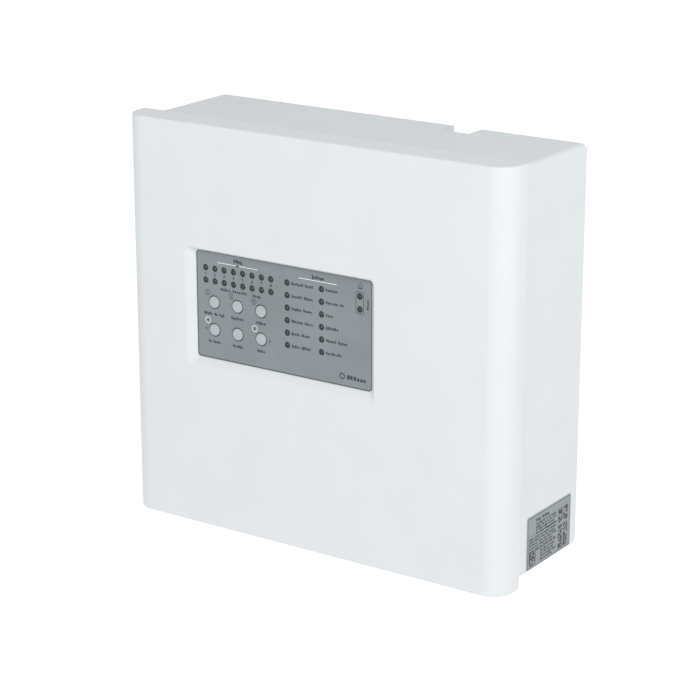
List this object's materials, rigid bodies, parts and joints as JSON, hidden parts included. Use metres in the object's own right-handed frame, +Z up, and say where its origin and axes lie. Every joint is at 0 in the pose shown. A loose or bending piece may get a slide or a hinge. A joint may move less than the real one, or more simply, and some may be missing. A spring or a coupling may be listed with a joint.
{
  "type": "fire alarm control panel",
  "caption": "Wall-mounted fire alarm control panel: white case with a hinged cover, a sunk grey display with keys and indicators, boards and batteries inside.",
  "frame": {"origin": "centre of the flat back of the case, on the wall plane", "axes": "+Y into the wall, -Y out of the front cover, +X right and +Z up as seen from the front"},
  "size_m": [0.35, 0.121, 0.328],
  "materials": {
    "case_plastic": "fine satin texture",
    "cover_plastic": "smooth satin",
    "overlay_film": "satin printed film",
    "indicator_window": "clear dark windows",
    "key_plastic": "satin",
    "silicone": "matte",
    "board_green": "solder mask",
    "black_plastic": "matte",
    "terminal_green": "satin",
    "relay_blue": "satin",
    "ribbon_grey": "satin",
    "winding_yellow": "taped winding on a ferrite core",
    "capacitor_sleeve": "shrunk sleeve",
    "aluminium": "mill finish",
    "zinc_steel": "zinc plated",
    "brass": "plain",
    "battery_case": "fine texture",
    "lead_red": "PVC",
    "lead_brown": "PVC",
    "lead_blue": "PVC",
    "lead_earth": "PVC, green and yellow",
    "rubber": "matte",
    "label_grey": "printed label film"
  },
  "bodies": {
    "case": {"rear_base": "case_plastic", "hinge_pin_upper": "zinc_steel", "hinge_pin_lower": "zinc_steel", "clamp_screw_left": "zinc_steel", "clamp_screw_right": "zinc_steel", "main_board": "board_green", "zone_terminals": "terminal_green", "output_terminals": "terminal_green", "processor": "black_plastic", "relay_1": "relay_blue", "relay_2": "relay_blue", "board_header": "black_plastic", "ribbon_cable": "ribbon_grey", "power_board": "board_green", "power_transformer": "winding_yellow", "power_capacitor": "capacitor_sleeve", "power_heatsink": "aluminium", "mains_terminal": "terminal_green", "fuse_holder": "black_plastic", "earth_stud": "brass", "battery_left": "battery_case", "battery_right": "battery_case", "battery_bracket": "zinc_steel", "battery_lead_red": "lead_red", "battery_lead_black": "black_plastic", "battery_link_lead": "lead_blue", "mains_lead_live": "lead_brown", "mains_lead_neutral": "lead_blue", "earth_lead": "lead_earth", "supply_lead": "black_plastic", "cable_grommet": "rubber", "rear_entry_plug": "rubber", "rating_label": "label_grey", "board_screw_1": "zinc_steel", "board_screw_2": "zinc_steel", "board_screw_3": "zinc_steel", "board_screw_4": "zinc_steel", "power_screw_1": "zinc_steel", "bracket_screw_1": "zinc_steel", "power_screw_2": "zinc_steel", "bracket_screw_2": "zinc_steel"},
    "cover": {"front_cover": "cover_plastic", "display_overlay": "overlay_film", "zone_light_guide_upper": "indicator_window", "zone_light_guide_lower": "indicator_window", "fault_light_guide": "indicator_window", "status_light_guide": "indicator_window", "link_light_guide": "indicator_window", "key_mat": "silicone", "display_board": "board_green", "display_header": "black_plastic", "buzzer": "black_plastic", "display_screw_1": "zinc_steel", "display_screw_2": "zinc_steel"},
    "key_body_1": {"key_1": "key_plastic"},
    "key_body_2": {"key_2": "key_plastic"},
    "key_body_3": {"key_3": "key_plastic"},
    "key_body_4": {"key_4": "key_plastic"},
    "key_body_5": {"key_5": "key_plastic"},
    "key_body_6": {"key_6": "key_plastic"}
  },
  "joints": [
    {"name": "cover_swing", "type": "hinge", "parent": "case", "child": "cover", "pos_m": [-0.1729, -0.0913, 0], "axis": [0, 0, -1], "range_deg": [0, 110], "deforming": ["ribbon_cable"]},
    {"name": "key_1_press", "type": "slide", "parent": "cover", "child": "key_body_1", "axis": [0, 1, 0], "range_m": [0, 0.0008], "stiffness_N_per_m": 600, "springref_m": -0.0004},
    {"name": "key_2_press", "type": "slide", "parent": "cover", "child": "key_body_2", "axis": [0, 1, 0], "range_m": [0, 0.0008], "stiffness_N_per_m": 600, "springref_m": -0.0004},
    {"name": "key_3_press", "type": "slide", "parent": "cover", "child": "key_body_3", "axis": [0, 1, 0], "range_m": [0, 0.0008], "stiffness_N_per_m": 600, "springref_m": -0.0004},
    {"name": "key_4_press", "type": "slide", "parent": "cover", "child": "key_body_4", "axis": [0, 1, 0], "range_m": [0, 0.0008], "stiffness_N_per_m": 600, "springref_m": -0.0004},
    {"name": "key_5_press", "type": "slide", "parent": "cover", "child": "key_body_5", "axis": [0, 1, 0], "range_m": [0, 0.0008], "stiffness_N_per_m": 600, "springref_m": -0.0004},
    {"name": "key_6_press", "type": "slide", "parent": "cover", "child": "key_body_6", "axis": [0, 1, 0], "range_m": [0, 0.0008], "stiffness_N_per_m": 600, "springref_m": -0.0004}
  ]
}
